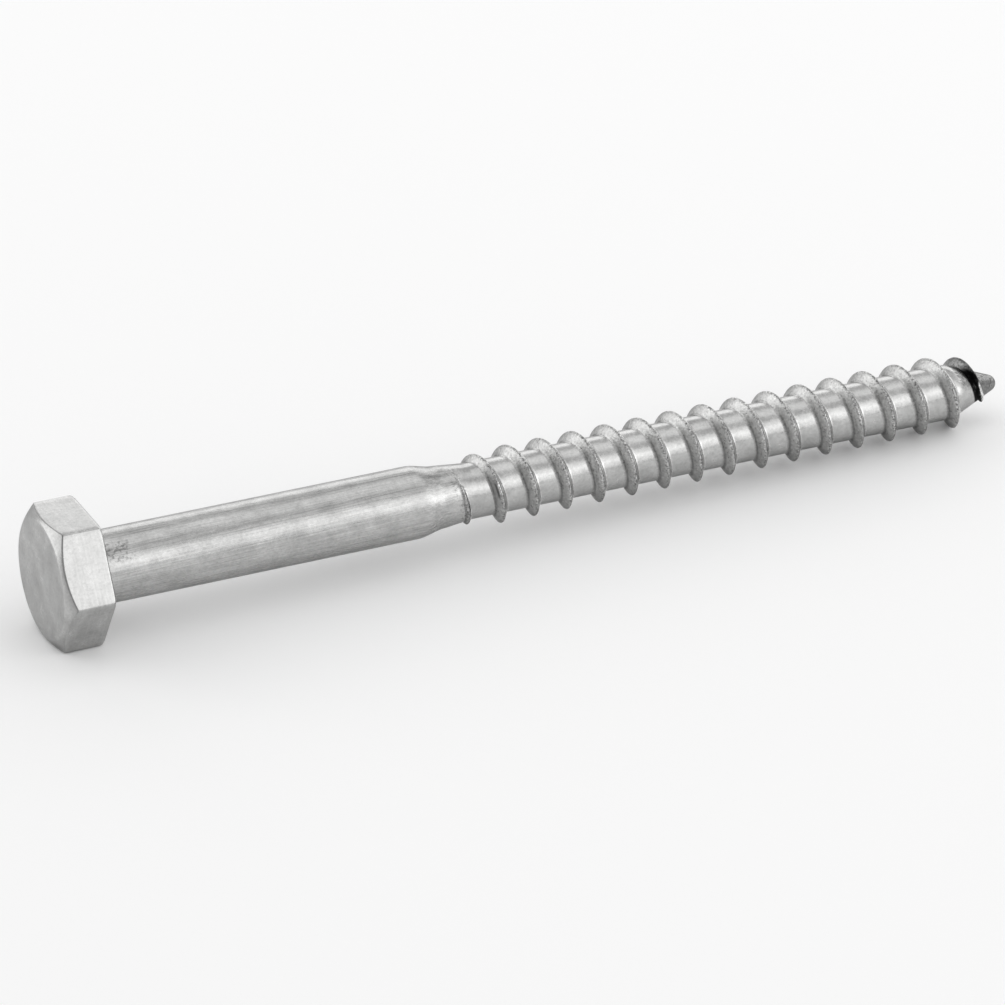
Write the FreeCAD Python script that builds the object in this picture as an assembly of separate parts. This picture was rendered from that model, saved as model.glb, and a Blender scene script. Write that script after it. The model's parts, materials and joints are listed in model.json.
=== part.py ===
"""A hexagon-head lag screw, lying on a flat surface as it comes to rest.

The screw is built about its own axis: the bearing face under the head is at x = 0, the
head lies towards -x and the point towards +x. It is then tipped nose down until the
head's lower flat and the last full turn of the thread both touch the surface z = 0.
All sizes are in millimetres.
"""
import FreeCAD, Part
import math
import os

Vector = FreeCAD.Vector
X_AXIS = Vector(1, 0, 0)
Y_AXIS = Vector(0, 1, 0)
ORIGIN = Vector(0, 0, 0)

# Overall sizes
length = 130.0                # from the bearing face to the point
shank_diameter = 9.6
thread_diameter = 9.9         # over the crests
core_diameter = 7.4           # at the root of the thread
neck_diameter = 8.24          # where the thread's ridge comes out of the skin

# Head
across_flats = 17.0
head_height = 6.5
head_face_diameter = 15.8     # the circle that the chamfer leaves on the end face
head_chamfer_angle = 30.0     # measured from the end face
bearing_face_diameter = 18.7  # the corners are broken outside this circle
bearing_chamfer_angle = 30.0  # measured from the bearing face
under_head_flare = 0.5        # height and length of the flare from the shank into the head

# Neck
shank_length = 44.8           # full-diameter shank, from the bearing face
neck_taper_length = 4.0       # smoothly from the shank's diameter to the neck's
root_taper_length = 4.0       # straight on, down to the root of the thread

# Thread
pitch = 4.72
crest_width = 0.6
flank_angle = 27.0            # of each flank, from a plane square to the axis
ridge_start_diameter = 8.04   # over its crest, which starts just under the neck's skin
ridge_rise_length = 8.0       # along the axis, until the ridge has its full height

# Gimlet point
point_angle = 44.0            # included angle of the cone
nose_radius = 1.15
crest_taper_gap = 6.3         # to the point, from where the crest starts to close in
crest_taper_length = 3.1      # along the axis, until the ridge is as low as at its end
ridge_end_height = 0.5        # of the ridge's blunt end over the cone
ridge_end_gap = 2.4           # from the ridge's end to the point
ridge_end_angle = 249.0       # of the ridge's end round the axis, from +y towards +z

# How the ridge is modelled
ridge_sink = 0.45             # depth of the ridge's foot under the stem's skin
points_per_turn = 14

# Sizes that follow
shank_radius = shank_diameter / 2
thread_radius = thread_diameter / 2
core_radius = core_diameter / 2
neck_radius = neck_diameter / 2
corner_radius = across_flats / math.sqrt(3)
half_point_angle = math.radians(point_angle / 2)
cone_slope = math.tan(half_point_angle)
flank_slope = math.tan(math.radians(flank_angle))

neck_end = shank_length + neck_taper_length
root_start = neck_end + root_taper_length
ridge_start = neck_end
ridge_start_radius = ridge_start_diameter / 2
nose_centre = length - nose_radius
cone_apex = nose_centre + nose_radius / math.sin(half_point_angle)
cone_start = cone_apex - core_radius / cone_slope
crest_taper_start = length - crest_taper_gap
ridge_end = length - ridge_end_gap


def smooth_step(share):
    """0 up to share = 0 and 1 from share = 1 on, with level ends between them."""
    share = min(max(share, 0.0), 1.0)
    return share * share * (3 - 2 * share)


def stem_radius(x):
    """Radius of the stem under the ridge at x."""
    neck_share = smooth_step((x - shank_length) / neck_taper_length)
    root_share = min(max((x - neck_end) / root_taper_length, 0.0), 1.0)
    radius = shank_radius - (shank_radius - neck_radius) * neck_share
    radius -= (neck_radius - core_radius) * root_share
    return min(radius, (cone_apex - x) * cone_slope)


def crest_radius(x):
    """Radius of the ridge's crest, where the ridge's middle is at x."""
    rise = min((x - ridge_start) / ridge_rise_length, 1.0)
    radius = ridge_start_radius + (thread_radius - ridge_start_radius) * rise
    closing = smooth_step((x - crest_taper_start) / crest_taper_length)
    radius += (stem_radius(x) + ridge_end_height - radius) * closing
    return max(radius, stem_radius(x) - ridge_sink / 2)


def ridge_angle(x):
    """Where the ridge's middle is round the axis, from +y towards +z: a right-hand thread."""
    return math.radians(ridge_end_angle) - 2 * math.pi * (ridge_end - x) / pitch


def ridge_point(x, offset, radius):
    """A point of the ridge's section at x, offset along the axis and out from it."""
    angle = ridge_angle(x)
    return Vector(x + offset, radius * math.cos(angle), radius * math.sin(angle))


def foot_offset(x):
    """Half of the ridge's width at its foot."""
    height = crest_radius(x) - stem_radius(x) + ridge_sink
    return crest_width / 2 + height * flank_slope


def head_side_foot(x):
    offset = -foot_offset(x)
    return ridge_point(x, offset, stem_radius(x + offset) - ridge_sink)


def head_side_crest(x):
    return ridge_point(x, -crest_width / 2, crest_radius(x))


def point_side_crest(x):
    return ridge_point(x, crest_width / 2, crest_radius(x))


def point_side_foot(x):
    offset = foot_offset(x)
    return ridge_point(x, offset, stem_radius(x + offset) - ridge_sink)


RIDGE_CORNERS = (head_side_foot, head_side_crest, point_side_crest, point_side_foot)


def corner_path(corner, x_from, x_to):
    """The path that a corner of the ridge's section follows, as one smooth edge."""
    places = [x_from + (x_to - x_from) * i / points_per_turn for i in range(points_per_turn + 1)]
    nudge = pitch / 5000
    starts_along = (corner(x_from + nudge) - corner(x_from - nudge)) * (0.5 / nudge)
    ends_along = (corner(x_to + nudge) - corner(x_to - nudge)) * (0.5 / nudge)
    curve = Part.BSplineCurve()
    curve.interpolate(Points=[corner(x) for x in places], Parameters=places,
                      InitialTangent=starts_along, FinalTangent=ends_along, Scale=False)
    return curve.toShape()


def ridge_end_face(x):
    foot_before, crest_before, crest_after, foot_after = [corner(x) for corner in RIDGE_CORNERS]
    return Part.makeRuledSurface(Part.makeLine(foot_before, crest_before),
                                 Part.makeLine(foot_after, crest_after))


def thread_ridge():
    """The thread's ridge as a closed solid: ruled strips between its corners, turn by turn."""
    turns = math.ceil((ridge_end - ridge_start) / pitch)
    turn_length = (ridge_end - ridge_start) / turns
    faces = [ridge_end_face(ridge_start), ridge_end_face(ridge_end)]
    for turn in range(turns):
        x_from = ridge_start + turn * turn_length
        paths = [corner_path(corner, x_from, x_from + turn_length) for corner in RIDGE_CORNERS]
        for path, next_path in zip(paths, paths[1:] + paths[:1]):
            faces.append(Part.makeRuledSurface(path, next_path))
    skin = Part.makeShell(faces)
    skin.sewShape()
    return Part.Solid(skin)


def profile_point(x, radius):
    return Vector(x, 0, radius)


def profile_line(start, end):
    return Part.makeLine(profile_point(*start), profile_point(*end))


def profile_arc(centre, radius, from_angle, to_angle):
    """An arc of the profile; angles from the axis, towards the outside."""
    points = []
    for angle in (from_angle, (from_angle + to_angle) / 2, to_angle):
        points.append(profile_point(centre[0] + radius * math.cos(angle),
                                    centre[1] + radius * math.sin(angle)))
    return Part.Arc(*points).toShape()


def profile_taper(start, end):
    """A smooth step from one radius to the next, level at both ends."""
    third = (end[0] - start[0]) / 3
    curve = Part.BezierCurve()
    curve.setPoles([profile_point(*start), profile_point(start[0] + third, start[1]),
                    profile_point(end[0] - third, end[1]), profile_point(*end)])
    return curve.toShape()


def turned(edges):
    """The solid that a closed profile sweeps round the axis."""
    return Part.Face(Part.Wire(edges)).revolve(ORIGIN, X_AXIS, 360)


def stem():
    """Shank, neck, thread root and point, turned in one; its back end is inside the head."""
    back = -head_height / 2
    flare_radius = shank_radius + under_head_flare
    nose_edge = (nose_centre + nose_radius * math.sin(half_point_angle),
                 nose_radius * math.cos(half_point_angle))
    return turned([
        profile_line((back, 0), (back, flare_radius)),
        profile_line((back, flare_radius), (0, flare_radius)),
        profile_line((0, flare_radius), (under_head_flare, shank_radius)),
        profile_line((under_head_flare, shank_radius), (shank_length, shank_radius)),
        profile_taper((shank_length, shank_radius), (neck_end, neck_radius)),
        profile_line((neck_end, neck_radius), (root_start, core_radius)),
        profile_line((root_start, core_radius), (cone_start, core_radius)),
        profile_line((cone_start, core_radius), nose_edge),
        profile_arc((nose_centre, 0), nose_radius, math.pi / 2 - half_point_angle, 0),
        profile_line((length, 0), (back, 0)),
    ])


def hexagon_head():
    """The hexagon with a flat underneath, chamfered at its end face and at its corners."""
    corners = []
    for corner in range(7):
        angle = math.radians(60 * corner)
        corners.append(Vector(-head_height, corner_radius * math.cos(angle),
                              corner_radius * math.sin(angle)))
    prism = Part.Face(Part.makePolygon(corners)).extrude(Vector(head_height, 0, 0))
    face_radius = head_face_diameter / 2
    bearing_radius = bearing_face_diameter / 2
    outside = corner_radius + 1
    face_drop = (outside - face_radius) * math.tan(math.radians(head_chamfer_angle))
    bearing_drop = (outside - bearing_radius) * math.tan(math.radians(bearing_chamfer_angle))
    envelope = turned([
        profile_line((-head_height, 0), (-head_height, face_radius)),
        profile_line((-head_height, face_radius), (face_drop - head_height, outside)),
        profile_line((face_drop - head_height, outside), (-bearing_drop, outside)),
        profile_line((-bearing_drop, outside), (0, bearing_radius)),
        profile_line((0, bearing_radius), (0, 0)),
        profile_line((0, 0), (-head_height, 0)),
    ])
    return prism.common(envelope)


def rest_tilt():
    """The nose-down angle at which the screw rests on the head and on the thread.

    It tips about the flat's edge at the bearing face, until the crest touches down where
    one of its last turns passes underneath.
    """
    bottom_share = (ridge_end_angle - 270) / 360 % 1
    bottoms = [ridge_end - (bottom_share + turn) * pitch for turn in range(3)]
    return min(math.atan2(across_flats / 2 - crest_radius(x), x + crest_width / 2)
               for x in bottoms)


def lag_screw():
    screw = stem().fuse([hexagon_head(), thread_ridge()])
    tilt = rest_tilt()
    screw.rotate(ORIGIN, Y_AXIS, math.degrees(tilt))
    length_seen = length * math.cos(tilt)
    head_seen = head_height * math.cos(tilt) + head_face_diameter / 2 * math.sin(tilt)
    screw.translate(Vector((head_seen - length_seen) / 2, 0, across_flats / 2 * math.cos(tilt)))
    return screw.Solids[0]


os.makedirs("parts", exist_ok=True)
lag_screw().exportStep("parts/lag_screw.step")
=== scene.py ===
"""The looks of the lag screw: one finely modelled skin in satin steel, a pale floor and soft light.

The skin is worked out about the screw's own axis, in millimetres: the bearing face is at
x = 0, the head lies towards -x and the point towards +x. It is then laid where the frame
says, in metres.
"""

import json
import math
from types import SimpleNamespace

import bmesh
import bpy
import numpy as np
from mathutils import Matrix, Vector


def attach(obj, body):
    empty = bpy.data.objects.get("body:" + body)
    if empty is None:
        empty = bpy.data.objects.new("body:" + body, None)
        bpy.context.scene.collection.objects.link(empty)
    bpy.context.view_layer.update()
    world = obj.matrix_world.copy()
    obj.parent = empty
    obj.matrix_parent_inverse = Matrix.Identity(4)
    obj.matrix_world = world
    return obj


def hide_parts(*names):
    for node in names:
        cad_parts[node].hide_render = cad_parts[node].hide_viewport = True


MM = 0.001
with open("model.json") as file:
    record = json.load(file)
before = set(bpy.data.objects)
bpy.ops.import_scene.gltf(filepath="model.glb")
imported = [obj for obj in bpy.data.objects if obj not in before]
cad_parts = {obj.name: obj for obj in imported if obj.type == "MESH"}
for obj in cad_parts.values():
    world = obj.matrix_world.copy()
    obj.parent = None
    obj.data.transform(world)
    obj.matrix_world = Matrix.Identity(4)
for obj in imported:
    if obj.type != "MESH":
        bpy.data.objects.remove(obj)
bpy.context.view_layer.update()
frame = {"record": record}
mounts = {mount["name"]: mount for mount in frame["record"]["mounts"]}

# Sizes and places that the frame gives
bearing_centre = Vector(mounts["bearing_face"]["pos_m"]) * Vector((1, 0, 1))
screw_axis = Vector(mounts["bearing_face"]["axis"]).normalized()
head_height = (Vector(mounts["hex_drive"]["pos_m"]) - bearing_centre).length / MM
shank_radius = mounts["shank"]["dims"]["r_mm"]

# Sizes as in the part's source
length = 130.0
thread_radius = 4.95
core_radius = 3.7
neck_radius = 4.12
across_flats = 17.0
head_face_radius = 7.9
head_chamfer_angle = math.radians(30)
bearing_face_radius = 9.35
bearing_chamfer_angle = math.radians(30)
under_head_flare = 0.5
shank_length = 44.8
neck_taper_length = 4.0
root_taper_length = 4.0
pitch = 4.72
crest_width = 0.6
flank_angle = math.radians(27)
ridge_start_radius = 4.02
ridge_rise_length = 8.0
half_point_angle = math.radians(22)
nose_radius = 1.15
crest_taper_gap = 6.3
crest_taper_length = 3.1
ridge_end_height = 0.5
ridge_end_gap = 2.4
ridge_end_angle = math.radians(249)

# Softened edges, which only the skin has
corner_rounding = 0.3         # radius of the hexagon's six long edges
face_edge_easing = 0.3        # length along the surface over which an edge turns
bearing_edge_easing = 0.9
fillet_easing = 0.8
crest_squareness = 2.1        # 2 is a hyperbola, and more is squarer
ridge_end_easing = 0.3        # along the axis, where the ridge's blunt end rounds off
root_fairing = 0.08
ridge_start_easing = 0.22     # by which the ridge's crest is lower where it starts
cone_fairing = 0.4

# Sizes that follow
apothem = across_flats / 2
cone_slope = math.tan(half_point_angle)
flank_slope = math.tan(flank_angle)
neck_end = shank_length + neck_taper_length
ridge_start = neck_end
nose_centre = length - nose_radius
cone_apex = nose_centre + nose_radius / math.sin(half_point_angle)
ridge_end = length - ridge_end_gap
crest_taper_start = length - crest_taper_gap
ridge_half_width = crest_width / 2 + (thread_radius - core_radius) * flank_slope

# How finely the skin is divided
columns_per_flat = 15
columns_per_corner = 5
rows_per_face = 8             # of the end face, the flats and the bearing face
end_face_margin = 1.0         # from the last of the end face's rows to its edge
rows_per_edge = 8
edge_reach = 0.6              # of an edge's rows to each side, as a share of its easing
easing_samples = 17
rows_on_shank = 50
rows_on_neck = 18
neck_rows_from = shank_length - 1.0
helix_from = 48.4             # along the axis, where the rows start to follow the thread
helix_to = 128.7
rows_on_ridge_side = 11
rows_on_root_side = 6
rows_on_nose = 12
merge_distance = 0.0005       # under which two points of the skin become one

# Finish of the steel
steel_colour = (0.5, 0.5, 0.495, 1)
grazing_tint = 0.62           # of the plain steel, where it is seen at a grazing angle
noise_low = 0.3               # noise mostly stays between these two values
noise_high = 0.7
bump_depth = 0.02
bump_strength = 0.5
zone_tones = {                # how light each zone is, where 1 is the plain steel; several zones are painted shade or painted light
    "thread": 1.05,
    # painted shade in the ridge's head-side corner, below its top
    "painted_corner_shade": 0.6,
    # painted shade on the ridge's lower head side
    "painted_lower_ridge_shade": 0.87,
    # painted light on the ridge's point side
    "painted_point_side_light": 1.2,
    # painted light: the head's end face is lighter
    "end_face_painted_light": 1.12,
    # painted shade: the side that faces the floor is darker
    "painted_underside_shade": 0.8,
    # painted shade as thin dark lines along the chamfer's edge and two seams
    "painted_shade_lines": 0.3,
    # painted highlights as thin light lines on two seams and the last turn's crest
    "painted_highlight_lines": 2.0,
}
pit_tone = 0.5
smudge_tone = 0.5
grime_tone = 0.38
smear_tone = 0.025
smear_roughness = 0.5

# Sockets of a mix node, which has several of the same name
MIX_SHARE = 0
MIX_FIRST_NUMBER = 2
MIX_SECOND_NUMBER = 3
MIX_FIRST_COLOUR = 6
MIX_SECOND_COLOUR = 7
MIX_NUMBER_RESULT = 0
MIX_COLOUR_RESULT = 2

# The photograph's camera, found by fitting the screw's outline
camera_azimuth = math.radians(-24.05)
camera_elevation = math.radians(28.52)
camera_roll = math.radians(-1.293)
camera_distance = 1.0438
focal_pixels = 8030.3
image_pixels = 1005
aim_height = 0.008
aim_column = 528.34
aim_row = 469.65
sensor_width = 36.0

# Floor and light
floor_half_width = 3.0
floor_colour = (0.97, 0.97, 0.97, 1)
world_colour = (1, 1, 1, 1)
world_brightness = 0.72
lamp_distance = 1.2


def smooth_step(share):
    """0 up to share = 0 and 1 from share = 1 on, with level ends between them."""
    share = np.clip(share, 0.0, 1.0)
    return share * share * (3 - 2 * share)


def rise(value, start, end):
    """0 up to the start and 1 from the end on."""
    return smooth_step((value - start) / (end - start))


def fall(value, start, end):
    """1 up to the start and 0 from the end on."""
    return smooth_step((end - value) / (end - start))


def window(value, low, high, softness):
    """1 from low to high and 0 further off, with soft ends of that length outside them."""
    return rise(value, low - softness, low) * fall(value, high, high + softness)


def faired_maximum(first, second, fairing):
    """The larger of two heights, with the valley between them filled by a fairing."""
    overlap = np.maximum(fairing - np.abs(first - second), 0.0)
    return np.maximum(first, second) + overlap ** 2 / (4 * fairing)


def stem_radius(x):
    """Radius of neck, thread root and cone at x."""
    neck_share = smooth_step((x - shank_length) / neck_taper_length)
    root_share = np.clip((x - neck_end) / root_taper_length, 0.0, 1.0)
    radius = shank_radius - (shank_radius - neck_radius) * neck_share
    radius = radius - (neck_radius - core_radius) * root_share
    cone = (cone_apex - x) * cone_slope
    return -faired_maximum(-radius, -cone, cone_fairing)


def crest_radius(x):
    """Radius of the thread's crest, where its middle is at x."""
    share = np.clip((x - ridge_start) / ridge_rise_length, 0.0, 1.0)
    radius = ridge_start_radius + (thread_radius - ridge_start_radius) * share
    closing = smooth_step((x - crest_taper_start) / crest_taper_length)
    radius = radius + (stem_radius(x) + ridge_end_height - radius) * closing
    start_dip = smooth_step((ridge_start - x) / ridge_end_easing)
    end_dip = smooth_step((x - ridge_end) / ridge_end_easing + 0.5)
    radius = radius - ridge_start_easing * (1 - smooth_step(share))
    return radius - (ridge_end_height + root_fairing) * (start_dip + end_dip)


def turn_offset(x, angle):
    """How far x lies from the middle of the nearest turn of the thread, at that angle."""
    last_turn = ridge_end - (ridge_end_angle - angle) / (2 * math.pi) % 1 * pitch
    return (x - last_turn + pitch / 2) % pitch - pitch / 2


def threaded_radius(x, angle):
    """Radius of the finished surface: the ridge with its rounded crest, faired into the stem."""
    offset = turn_offset(x, angle)
    top = crest_width / 2 / flank_slope
    drop = np.abs(offset) / flank_slope
    rounded = (drop ** crest_squareness + top ** crest_squareness) ** (1 / crest_squareness)
    ridge = crest_radius(x - offset) + top - rounded
    return faired_maximum(ridge, stem_radius(x), root_fairing)


def hexagon_radius(angle):
    """Radius of the hexagon with rounded corners; two of its flats face up and down."""
    from_flat = abs((angle - math.pi / 2 + math.pi / 6) % (math.pi / 3) - math.pi / 6)
    inner = apothem - corner_rounding
    if apothem * math.tan(from_flat) <= inner * math.tan(math.pi / 6):
        return apothem / math.cos(from_flat)
    corner_distance = inner / math.cos(math.pi / 6)
    from_corner = math.pi / 6 - from_flat
    across = corner_distance * math.sin(from_corner)
    return corner_distance * math.cos(from_corner) + math.sqrt(corner_rounding ** 2 - across ** 2)


def column_angles():
    """Angles of the skin's columns, close together where they cross the hexagon's corners."""
    flat_end = math.atan((apothem - corner_rounding) * math.tan(math.pi / 6) / apothem)
    on_flat = np.linspace(-flat_end, flat_end, columns_per_flat + 2)[1:-1]
    on_corner = np.linspace(flat_end, math.pi / 3 - flat_end, columns_per_corner)
    sector = np.concatenate([on_flat, on_corner])
    return np.concatenate([sector + math.pi / 2 + side * math.pi / 3 for side in range(6)])


def head_profile(angle):
    """The head's outline at one angle: its knots, and the easing of the edge at each."""
    radius = hexagon_radius(angle)
    chamfer = (radius - head_face_radius) * math.tan(head_chamfer_angle)
    relief = max(0.0, radius - bearing_face_radius) * math.tan(bearing_chamfer_angle)
    knots = [
        (-head_height, 0.0, 0.0),
        (-head_height, head_face_radius, face_edge_easing),
        (chamfer - head_height, radius, face_edge_easing),
        (-relief, radius, bearing_edge_easing),
        (0.0, min(radius, bearing_face_radius), bearing_edge_easing),
        (0.0, shank_radius + under_head_flare, fillet_easing),
        (under_head_flare, shank_radius, fillet_easing),
        (under_head_flare + fillet_easing, shank_radius, 0.0),
    ]
    return np.array(knots)


def eased_column(knots):
    """Points down the head's outline at one angle, with its edges eased.

    Each point is the mean of the outline within the easing round it, so that a sharp edge
    becomes a curve of that length.
    """
    path = knots[:, :2]
    easing = knots[:, 2]
    along = np.concatenate([[0.0], np.cumsum(np.hypot(*np.diff(path, axis=0).T))])
    places = [np.linspace(0.0, along[1] - end_face_margin, rows_per_face)]
    for edge in range(1, len(knots) - 1):
        reach = edge_reach * easing[edge]
        places.append(np.linspace(along[edge] - reach, along[edge] + reach, rows_per_edge))
    for flat_start in (2, 4):
        flat = np.linspace(along[flat_start], along[flat_start + 1], rows_per_face)
        places.append(flat[1:-1])
    places.append(along[-1:])
    places = np.clip(np.sort(np.concatenate(places)), 0.0, along[-1])
    reach = np.interp(places, along, easing)
    shares = np.linspace(-0.5, 0.5, easing_samples)
    samples = np.clip(places[:, None] + shares * reach[:, None], 0.0, along[-1])
    return np.stack([np.interp(samples, along, path[:, side]).mean(1) for side in (0, 1)], -1)


def skin_points(x, radius, angles):
    return np.stack([x, radius * np.cos(angles), radius * np.sin(angles)], -1)


def head_rows(angles):
    """Rows of points from the middle of the end face to the start of the shank."""
    columns = np.array([eased_column(head_profile(angle)) for angle in angles])
    return skin_points(columns[:, :, 0].T, columns[:, :, 1].T, angles)


def straight_rows(places, angles):
    """Rows of points round the stem, one at each place along the axis."""
    x = np.repeat(places[:, None], len(angles), 1)
    return skin_points(x, stem_radius(x), angles)


def nose_rows(angles):
    """Rows of points round the nose, the last of them at the point itself."""
    bend = np.linspace(math.pi / 2 - half_point_angle, 0.0, rows_on_nose)
    x = np.repeat((nose_centre + nose_radius * np.cos(bend))[:, None], len(angles), 1)
    radius = np.repeat((nose_radius * np.sin(bend))[:, None], len(angles), 1)
    return skin_points(x, radius, angles)


def turn_rows():
    """Offsets of one turn's rows from the middle of the ridge, closest together on its flanks."""
    on_ridge = np.linspace(0.0, ridge_half_width + root_fairing / 2, rows_on_ridge_side)
    on_root = np.linspace(on_ridge[-1], pitch / 2, rows_on_root_side + 1)[1:]
    half = np.concatenate([on_ridge, on_root])
    return np.concatenate([-half[-2:0:-1], half])


def helix_rows(angles):
    """Rows of points that follow the thread, cut off square where the straight rows begin."""
    advance = (angles - ridge_end_angle) / (2 * math.pi) * pitch
    first_turn = math.floor((helix_from - advance[0] - pitch - ridge_end) / pitch)
    last_turn = math.ceil((helix_to - advance[0] - ridge_end) / pitch) + 1
    turns = [ridge_end + turn * pitch + turn_rows() for turn in range(first_turn, last_turn + 1)]
    x = np.concatenate(turns)[:, None] + advance
    x = np.clip(x, helix_from, helix_to)
    return skin_points(x, threaded_radius(x, angles), angles)


def quads_between(rows, columns, first_vertex, shift):
    """Faces of a block of rows; its last column meets the first one, shift rows further on."""
    index = np.arange(rows * columns).reshape(rows, columns) + first_vertex
    sides = [index[:-1, :-1], index[1:, :-1], index[1:, 1:], index[:-1, 1:]]
    quads = np.stack([side.ravel() for side in sides], -1)
    upper = index[:rows - 1 - shift]
    lower = index[1:rows - shift]
    ahead = index[shift:]
    seam = np.stack([upper[:, -1], lower[:, -1], ahead[1:, 0], ahead[:-1, 0]], -1)
    return np.concatenate([quads, seam])


def skin_blocks(angles):
    """The skin's blocks of rows from head to point, each with the shift at its seam."""
    shank_start = under_head_flare + fillet_easing
    shank = np.linspace(shank_start, neck_rows_from, rows_on_shank)[1:]
    neck = np.linspace(neck_rows_from, helix_from, rows_on_neck)[1:]
    return [
        (head_rows(angles), 0),
        (straight_rows(np.concatenate([shank, neck]), angles), 0),
        (helix_rows(angles), len(turn_rows())),
        (nose_rows(angles), 0),
    ]


def joined_blocks(blocks, columns):
    """Points and faces of all blocks of rows, each block joined to the one before it."""
    points = []
    faces = []
    count = 0
    for rows, shift in blocks:
        if count:
            joint = np.arange(columns) + count
            around = np.roll(joint, -1)
            faces.append(np.stack([joint - columns, joint, around, around - columns], -1))
        faces.append(quads_between(len(rows), columns, count, shift))
        points.append(rows.reshape(-1, 3))
        count += len(rows) * columns
    return np.concatenate(points), np.concatenate(faces)


def close_mesh(mesh):
    """Merges the points that coincide, and turns all faces outwards with smooth shading."""
    shape = bmesh.new()
    shape.from_mesh(mesh)
    bmesh.ops.remove_doubles(shape, verts=shape.verts, dist=merge_distance)
    bmesh.ops.dissolve_degenerate(shape, edges=shape.edges, dist=merge_distance)
    bmesh.ops.recalc_face_normals(shape, faces=shape.faces)
    for face in shape.faces:
        face.smooth = True
    shape.to_mesh(mesh)
    shape.free()


def skin_mesh():
    """The whole screw as one closed mesh, about its own axis, in millimetres."""
    angles = column_angles()
    points, faces = joined_blocks(skin_blocks(angles), len(angles))
    mesh = bpy.data.meshes.new("lag_screw_skin")
    mesh.from_pydata(points.tolist(), [], faces.tolist())
    close_mesh(mesh)
    return mesh


def surface_places(mesh):
    """Where each point of the skin lies on the screw, and across the thread's ridge."""
    coordinates = np.zeros(len(mesh.vertices) * 3)
    mesh.vertices.foreach_get("co", coordinates)
    x, y, z = coordinates.reshape(-1, 3).T
    radius = np.hypot(y, z)
    angle = np.arctan2(z, y)
    offset = turn_offset(x, angle)
    turn = x - offset
    height = crest_radius(turn) - stem_radius(turn)
    near_axis = 0.1
    return SimpleNamespace(
        x=x,
        radius=radius,
        angle=angle,
        upwards=z / np.maximum(radius, near_axis),
        front_elevation=np.degrees(np.arctan2(z, -y)),
        offset=offset,
        from_ridge_start=turn - ridge_start,
        from_ridge_end=turn - ridge_end,
        half_width=crest_width / 2 + height * flank_slope,
        on_thread=rise(height, start=0.0, end=0.3))


def body_zones(at):
    """The forged head, the drawn shank and the rolled thread, with painted light on the end face
    and painted shade on the side that faces the floor.
    """
    past_neck = at.x - neck_end
    return {
        "head": fall(at.x, start=0.0, end=0.3),
        # painted light on the head's end face
        "end_face_painted_light": fall(at.x + head_height, start=0.0, end=0.1),
        "shank": rise(at.x, start=0.2, end=0.6) * fall(past_neck, start=0.2, end=3.2),
        "thread": rise(past_neck, start=2.2, end=5.2),
        # painted shade on the side that faces the floor
        "painted_underside_shade": fall(at.upwards, start=-0.85, end=-0.6) * rise(at.x, start=0.0, end=2.0),
    }


def ridge_zones(at):
    """The parts of the thread's ridge, across it from its head side to its point side, with painted
    shade in its head-side corner and on its lower head side, and painted light on its point side.
    """
    corner_width = 0.15
    below_the_top = at.on_thread * fall(at.upwards, start=0.7, end=0.9)
    whole_ridge = window(at.offset, low=-at.half_width, high=at.half_width, softness=0.1)
    head_side_corner_shade = window(at.offset + at.half_width, low=0.0, high=corner_width, softness=0.1)
    head_side_shade = window(at.offset, low=-at.half_width, high=0.25, softness=0.1)
    return {
        "ridge": at.on_thread * whole_ridge,
        # painted shade in the ridge's head-side corner, below the top
        "painted_corner_shade": below_the_top * head_side_corner_shade,
        # painted shade on the ridge's lower head side
        "painted_lower_ridge_shade": below_the_top * head_side_shade,
        "crest": at.on_thread * window(at.offset, low=-0.15, high=0.25, softness=0.2),
        # painted light on the ridge's point side
        "painted_point_side_light": at.on_thread * window(at.offset, low=0.25, high=at.half_width, softness=0.15),
    }


def dirt_zones(at):
    """The dark smear on the head side of the last turn, and the grey dirt round it."""
    flank_width = 0.9
    smear_slant = 0.35
    edge_on_flank = -0.15
    reach_over_crest = 0.7
    up_the_flank = np.clip(1 + at.offset / flank_width, 0.0, 1.0)
    smeared_turns = rise(at.from_ridge_end - smear_slant * up_the_flank, start=-2.35, end=-1.95)
    smeared_turns = smeared_turns * (at.from_ridge_end < 0.4)
    over_the_crest = window(at.from_ridge_end, low=-2.3, high=-1.5, softness=0.2)
    over_the_crest = over_the_crest + rise(at.from_ridge_end, start=-0.5, end=-0.2)
    smear_edge = edge_on_flank + reach_over_crest * over_the_crest
    on_head_side = window(at.offset, low=-0.95, high=smear_edge, softness=0.15)

    on_last_turn = window(at.from_ridge_end, low=-2.4, high=-1.7, softness=0.7)
    on_last_turn = on_last_turn * window(at.offset, low=-2.2, high=0.6, softness=0.8)
    on_the_crest = at.on_thread * window(at.offset, low=-0.2, high=0.35, softness=0.1)
    on_the_point = rise(at.x - length, start=-3.7, end=-3.1) * (1 - on_the_crest)
    return {
        "smear": smeared_turns * on_head_side,
        "grime": np.maximum(on_last_turn, on_the_point),
    }


def mark_zones(at):
    """Dark specks beside the head and where the ridge starts, and a smudge on the neck."""
    specks_at_start = 0.8
    by_the_head = window(at.x, low=1.0, high=4.0, softness=1.5)
    by_the_head = by_the_head * window(at.front_elevation, low=36, high=62, softness=8)
    at_the_start = window(at.from_ridge_start, low=1.3, high=2.7, softness=0.4)
    at_the_start = at_the_start * window(at.offset, low=-1.0, high=0.3, softness=0.3)
    on_the_neck = window(at.x - neck_end, low=-2.5, high=0.0, softness=0.9)
    high_up = window(at.front_elevation, low=67, high=70, softness=4)
    return {
        "specks": np.maximum(by_the_head, specks_at_start * at_the_start),
        "smudge": on_the_neck * high_up,
    }


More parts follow.
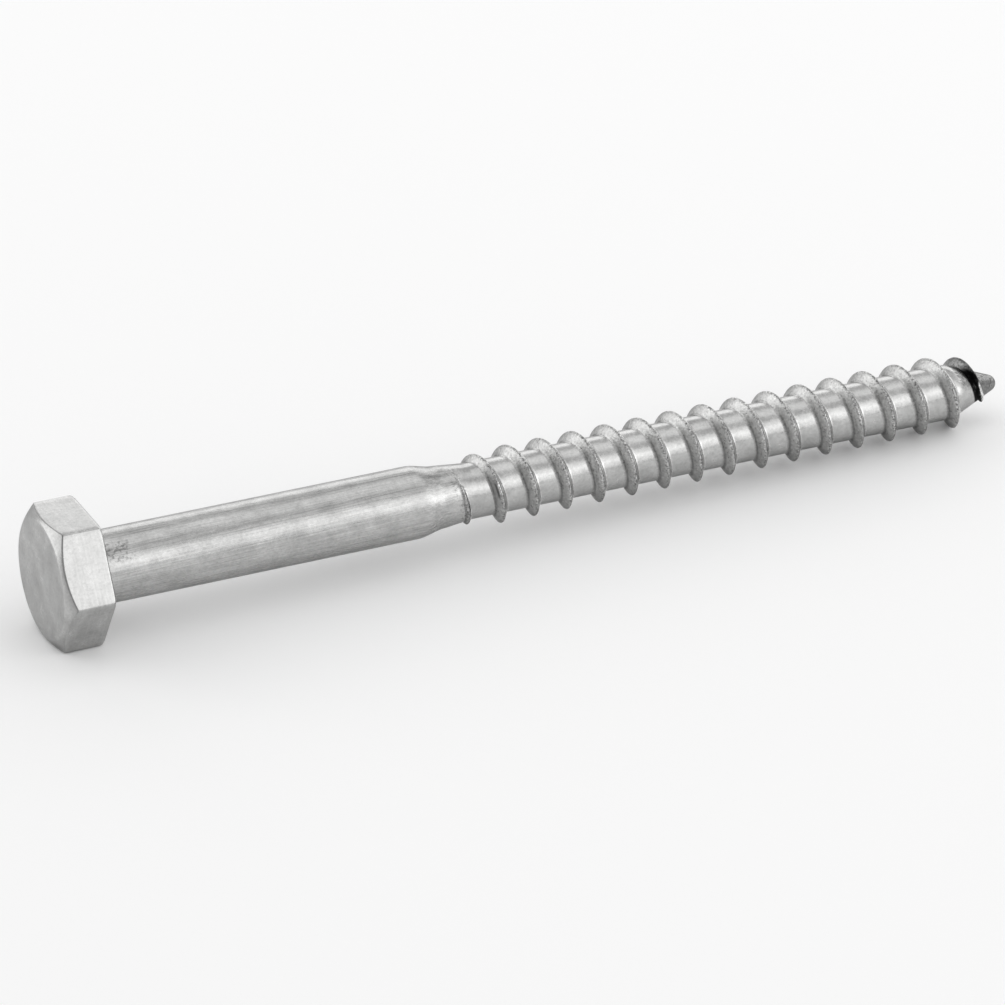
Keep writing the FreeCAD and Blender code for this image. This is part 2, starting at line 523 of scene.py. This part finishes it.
def chamfer_edge_shade(at):
    """Painted shade along the edge between chamfer and flats, which is darkest along the near flat.
    """
    skin_depth = 0.3
    strength = 0.22
    more_on_near_flat = 0.42
    hexagon = np.vectorize(hexagon_radius)(at.angle)
    edge_place = (hexagon - head_face_radius) * math.tan(head_chamfer_angle) - head_height
    on_the_edge = window(at.x - edge_place, low=-0.04, high=0.06, softness=0.12)
    on_the_edge = on_the_edge * (at.radius > hexagon - skin_depth)
    on_near_flat = window(at.front_elevation, low=0, high=60, softness=6)
    return on_the_edge * (strength + more_on_near_flat * on_near_flat)


def line_zones(at):
    """Thin painted lines: painted shade along the chamfer's edge, painted shade and highlight on
    two seams, and a painted highlight on the last turn's crest.
    """
    seam_highlight_strength = 0.35
    first_seam_shade = window(at.from_ridge_start, low=6.7, high=6.95, softness=0.1)
    first_seam_shade = first_seam_shade * window(at.offset, low=-0.42, high=-0.3, softness=0.09)
    first_seam_highlight = window(at.from_ridge_start, low=6.72, high=6.95, softness=0.08)
    first_seam_highlight = first_seam_highlight * window(at.offset, low=-0.12, high=-0.02, softness=0.08)
    second_seam_shade = window(at.from_ridge_start, low=11.15, high=11.4, softness=0.06)
    second_seam_shade = second_seam_shade * window(at.offset, low=0.2, high=0.4, softness=0.09)
    second_seam_highlight = window(at.from_ridge_start, low=11.28, high=11.45, softness=0.06)
    second_seam_highlight = second_seam_highlight * window(at.offset, low=-0.06, high=0.04, softness=0.08)
    last_crest_highlight = window(at.from_ridge_end, low=-1.4, high=-0.6, softness=0.15)
    last_crest_highlight = last_crest_highlight * window(at.offset, low=0.0, high=0.4, softness=0.1)
    seam_highlights = seam_highlight_strength * (first_seam_highlight + second_seam_highlight)
    return {
        "painted_shade_lines": np.maximum(chamfer_edge_shade(at), first_seam_shade + second_seam_shade),
        "painted_highlight_lines": at.on_thread * (last_crest_highlight + seam_highlights),
    }


def mark_surfaces(mesh):
    """Stores how far each point lies in each zone where the finish differs, and in each zone of
    painted shade and painted light.
    """
    at = surface_places(mesh)
    for zones in (body_zones(at), ridge_zones(at), dirt_zones(at), mark_zones(at), line_zones(at)):
        for name, shares in zones.items():
            attribute = mesh.attributes.new(name, "FLOAT", "POINT")
            attribute.data.foreach_set("value", np.asarray(shares, np.float32))


def lay_in_frame(mesh):
    """Moves a mesh from the screw's own axis, in millimetres, to its place in the frame."""
    side = Vector((0, 1, 0))
    turned = Matrix((screw_axis, side, screw_axis.cross(side))).transposed()
    mesh.transform(Matrix.Translation(bearing_centre) @ turned.to_4x4() @ Matrix.Scale(MM, 4))


class Finish:
    """A material's node tree, built value by value."""

    def __init__(self, name):
        self.material = bpy.data.materials.new(name)
        self.material.use_nodes = True
        self.tree = self.material.node_tree
        self.tree.nodes.clear()

    def node(self, kind, **values):
        """A new node, with each value put into the input or the setting of that name."""
        node = self.tree.nodes.new(kind)
        for name, value in values.items():
            if name in node.inputs:
                node.inputs[name].default_value = value
            else:
                setattr(node, name, value)
        return node

    def feed(self, socket, value):
        """Sets a socket to a number, or links it to another node's output."""
        if isinstance(value, (int, float)):
            socket.default_value = value
        else:
            self.tree.links.new(value, socket)

    def surface(self, shader):
        output = self.node("ShaderNodeOutputMaterial")
        self.feed(output.inputs["Surface"], shader.outputs["BSDF"])

    def attribute(self, name):
        return self.node("ShaderNodeAttribute", attribute_name=name).outputs["Fac"]

    def noise(self, grain, detail=3.0, roughness=0.6):
        """Noise whose grains have these sizes, in millimetres along x, y and z."""
        place = self.node("ShaderNodeTexCoord")
        mapping = self.node("ShaderNodeMapping", Scale=[1 / (size * MM) for size in grain])
        self.feed(mapping.inputs["Vector"], place.outputs["Object"])
        noise = self.node("ShaderNodeTexNoise", Scale=1.0, Detail=detail, Roughness=roughness)
        self.feed(noise.inputs["Vector"], mapping.outputs["Vector"])
        return noise.outputs["Fac"]

    def combined(self, operation, values):
        """All values put together by one kind of math node."""
        result = values[0]
        for value in values[1:]:
            node = self.node("ShaderNodeMath", operation=operation)
            self.feed(node.inputs[0], result)
            self.feed(node.inputs[1], value)
            result = node.outputs[0]
        return result

    def product(self, *values):
        return self.combined("MULTIPLY", values)

    def total(self, *values):
        return self.combined("ADD", values)

    def largest(self, *values):
        return self.combined("MAXIMUM", values)

    def smallest(self, *values):
        return self.combined("MINIMUM", values)

    def ramp(self, value, start, end, low=0.0, high=1.0):
        """A value that goes from low to high as the given one goes from start to end."""
        ends = {"From Min": start, "From Max": end, "To Min": low, "To Max": high}
        node = self.node("ShaderNodeMapRange", **ends)
        self.feed(node.inputs["Value"], value)
        return node.outputs["Result"]

    def swing(self, noise, low, high):
        """A value that swings between low and high with the noise."""
        return self.ramp(noise, noise_low, noise_high, low, high)

    def mixed(self, share, first, second):
        """The first number where the share is 0, and the second where it is 1."""
        node = self.node("ShaderNodeMix", data_type="FLOAT")
        self.feed(node.inputs[MIX_SHARE], share)
        self.feed(node.inputs[MIX_FIRST_NUMBER], first)
        self.feed(node.inputs[MIX_SECOND_NUMBER], second)
        return node.outputs[MIX_NUMBER_RESULT]

    def tinted(self, colour, tone):
        """A colour made lighter or darker by a tone."""
        node = self.node("ShaderNodeMix", data_type="RGBA", blend_type="MULTIPLY")
        node.inputs[MIX_SHARE].default_value = 1.0
        node.inputs[MIX_FIRST_COLOUR].default_value = colour
        self.feed(node.inputs[MIX_SECOND_COLOUR], tone)
        return node.outputs[MIX_COLOUR_RESULT]


def steel_grains(finish):
    """The noises that the finish is made of."""
    return SimpleNamespace(
        blotch=finish.noise(grain=(2.6, 2.6, 2.6), detail=4.0),
        speckle=finish.noise(grain=(0.35, 0.35, 0.35)),
        fine=finish.noise(grain=(0.2, 0.2, 0.2), detail=2.0),
        tooth=finish.noise(grain=(0.14, 0.14, 0.14), detail=2.0),
        dent=finish.noise(grain=(1.1, 1.1, 1.1), detail=2.0),
        pit=finish.noise(grain=(0.55, 0.4, 0.4), detail=2.0),
        dirt=finish.noise(grain=(0.5, 0.5, 0.5), detail=4.0),
        streak=finish.noise(grain=(14.0, 0.22, 0.22), roughness=0.7),
        band=finish.noise(grain=(0.35, 7.0, 7.0)))


def steel_tone(finish, grains, smear):
    """How light the steel is: its plain grain, and then what each zone and mark does to it, painted
    shade and painted highlights included.
    """
    stray_specks = 0.15
    swing = finish.swing
    attribute = finish.attribute
    grime = finish.product(attribute("grime"), swing(grains.fine, low=0.6, high=1.15))
    specked = finish.largest(attribute("specks"), grime, stray_specks)
    pits = finish.product(specked, finish.ramp(grains.pit, start=0.5, end=0.62))
    smudge = finish.product(attribute("smudge"), swing(grains.blotch, low=0.6, high=1.0))
    shades = [
        (attribute("shank"), swing(grains.streak, low=0.8, high=1.18)),
        (attribute("head"), swing(grains.band, low=0.93, high=1.06)),
        (attribute("ridge"), swing(grains.speckle, low=0.82, high=1.2)),
        (attribute("crest"), swing(grains.fine, low=0.1, high=1.6)),
    ]
    shades += [(attribute(name), zone_tone) for name, zone_tone in zone_tones.items()]
    shades += [(pits, pit_tone), (smudge, smudge_tone), (grime, grime_tone), (smear, smear_tone)]
    blotched = swing(grains.blotch, low=0.86, high=1.12)
    speckled = swing(grains.speckle, low=0.9, high=1.08)
    tone = finish.product(blotched, speckled)
    for share, shade in shades:
        tone = finish.product(tone, finish.mixed(share, 1.0, shade))
    return tone


def steel_roughness(finish, grains, smear):
    swing = finish.swing
    blotched = swing(grains.blotch, low=0.18, high=0.27)
    speckled = swing(grains.speckle, low=-0.03, high=0.04)
    rough = finish.total(blotched, speckled)
    drawn = swing(grains.streak, low=0.2, high=0.34)
    rolled = swing(grains.speckle, low=0.25, high=0.38)
    rough = finish.mixed(finish.attribute("shank"), rough, drawn)
    rough = finish.mixed(finish.attribute("ridge"), rough, rolled)
    return finish.mixed(smear, rough, smear_roughness)


def steel_relief(finish, grains):
    """Fine unevenness of the surface, as a bump; the heights are relative to the dents'."""
    tooth_height = 0.35
    blotch_height = 1.3
    streak_height = 0.8
    rolled_height = 5.0
    height = finish.total(
        finish.product(grains.tooth, tooth_height),
        finish.product(grains.blotch, blotch_height),
        grains.dent,
        finish.product(grains.streak, streak_height, finish.attribute("shank")),
        finish.product(grains.fine, rolled_height, finish.attribute("ridge")))
    bump = finish.node("ShaderNodeBump", Strength=bump_strength, Distance=bump_depth * MM)
    finish.feed(bump.inputs["Height"], height)
    return bump.outputs["Normal"]


def steel_material():
    """Satin steel: forged on the head, drawn on the shank and rolled on the thread."""
    finish = Finish("satin_steel")
    shader = finish.node("ShaderNodeBsdfPrincipled", Metallic=1.0)
    finish.surface(shader)
    grains = steel_grains(finish)
    uneven = finish.swing(grains.dirt, low=0.85, high=1.3)
    smear = finish.smallest(finish.product(finish.attribute("smear"), uneven), 1.0)
    tone = steel_tone(finish, grains, smear)
    # painted light: on the ridge's point side the grazing tint stays full, so it shows brighter at
    # grazing angles
    grazing = finish.mixed(finish.attribute("painted_point_side_light"), grazing_tint, 1.0)
    finish.feed(shader.inputs["Base Color"], finish.tinted(steel_colour, tone))
    finish.feed(shader.inputs["Specular Tint"], grazing)
    finish.feed(shader.inputs["Roughness"], steel_roughness(finish, grains, smear))
    finish.feed(shader.inputs["Normal"], steel_relief(finish, grains))
    return finish.material


def add_screw():
    mesh = skin_mesh()
    mark_surfaces(mesh)
    lay_in_frame(mesh)
    mesh.materials.append(steel_material())
    screw = bpy.data.objects.new("lag_screw_skin", mesh)
    bpy.context.scene.collection.objects.link(screw)
    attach(screw, "root")
    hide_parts("lag_screw")


def add_camera():
    """A camera that sees the point aim_height above the frame's origin at its given pixel."""
    across = math.cos(camera_elevation)
    back = Vector((math.sin(camera_azimuth) * across, -math.cos(camera_azimuth) * across,
                   math.sin(camera_elevation)))
    level = Vector((math.cos(camera_azimuth), math.sin(camera_azimuth), 0))
    upright = back.cross(level)
    right = level * math.cos(camera_roll) + upright * math.sin(camera_roll)
    up = upright * math.cos(camera_roll) - level * math.sin(camera_roll)
    pixel = camera_distance / focal_pixels
    middle = image_pixels / 2
    data = bpy.data.cameras.new("camera")
    data.sensor_width = sensor_width
    data.lens = focal_pixels * sensor_width / image_pixels
    data.clip_start = 0.05
    data.clip_end = 50.0
    camera = bpy.data.objects.new("camera", data)
    turned = Matrix((right, up, back)).transposed().to_4x4()
    place = Vector((0, 0, aim_height)) + back * camera_distance
    place -= right * (aim_column - middle) * pixel
    place += up * (aim_row - middle) * pixel
    camera.matrix_world = Matrix.Translation(place) @ turned
    bpy.context.scene.collection.objects.link(camera)
    bpy.context.scene.camera = camera


def add_floor():
    """A pale floor that keeps the screw's shadow, and looks nearly white."""
    half = floor_half_width
    corners = [(-half, -half, 0), (half, -half, 0), (half, half, 0), (-half, half, 0)]
    mesh = bpy.data.meshes.new("floor")
    mesh.from_pydata(corners, [], [(0, 1, 2, 3)])
    floor = bpy.data.objects.new("floor", mesh)
    bpy.context.scene.collection.objects.link(floor)
    finish = Finish("pale_floor")
    finish.surface(finish.node("ShaderNodeBsdfDiffuse", Color=floor_colour))
    mesh.materials.append(finish.material)


def add_lamp(name, azimuth, elevation, width, height, brightness, distance=lamp_distance):
    """A soft rectangular lamp, aimed at the screw. Azimuth 0 is in front and 90 to the right."""
    turn = math.radians(azimuth)
    climb = math.radians(elevation)
    towards = Vector((math.sin(turn) * math.cos(climb), -math.cos(turn) * math.cos(climb),
                      math.sin(climb)))
    data = bpy.data.lights.new(name, "AREA")
    data.shape = "RECTANGLE"
    data.size = width
    data.size_y = height
    data.energy = brightness * math.pi * width * height
    lamp = bpy.data.objects.new(name, data)
    lamp.location = towards * distance
    lamp.rotation_mode = "QUATERNION"
    lamp.rotation_quaternion = towards.to_track_quat("Z", "Y")
    bpy.context.scene.collection.objects.link(lamp)


def light_scene():
    """An even white world, and seven soft lamps that the steel reflects as bright bands."""
    world = bpy.data.worlds.new("studio")
    bpy.context.scene.world = world
    world.use_nodes = True
    background = world.node_tree.nodes["Background"]
    background.inputs["Color"].default_value = world_colour
    background.inputs["Strength"].default_value = world_brightness
    add_lamp("front_lamp", azimuth=40, elevation=27, width=1.3, height=0.95, brightness=0.66)
    add_lamp("front_glow", azimuth=32, elevation=28, width=0.9, height=0.3, brightness=0.42,
             distance=1.15)
    add_lamp("front_card", azimuth=52, elevation=10, width=0.5, height=0.5, brightness=0.9)
    add_lamp("back_lamp", azimuth=158, elevation=18, width=1.4, height=0.55, brightness=1.2)
    add_lamp("right_lamp", azimuth=108, elevation=18, width=0.9, height=0.5, brightness=1.1)
    add_lamp("top_lamp", azimuth=112, elevation=66, width=0.7, height=0.5, brightness=0.5)
    add_lamp("left_lamp", azimuth=-125, elevation=22, width=0.9, height=0.9, brightness=1.1)


bpy.context.scene.view_settings.view_transform = "Standard"
add_screw()
add_camera()
add_floor()
light_scene()
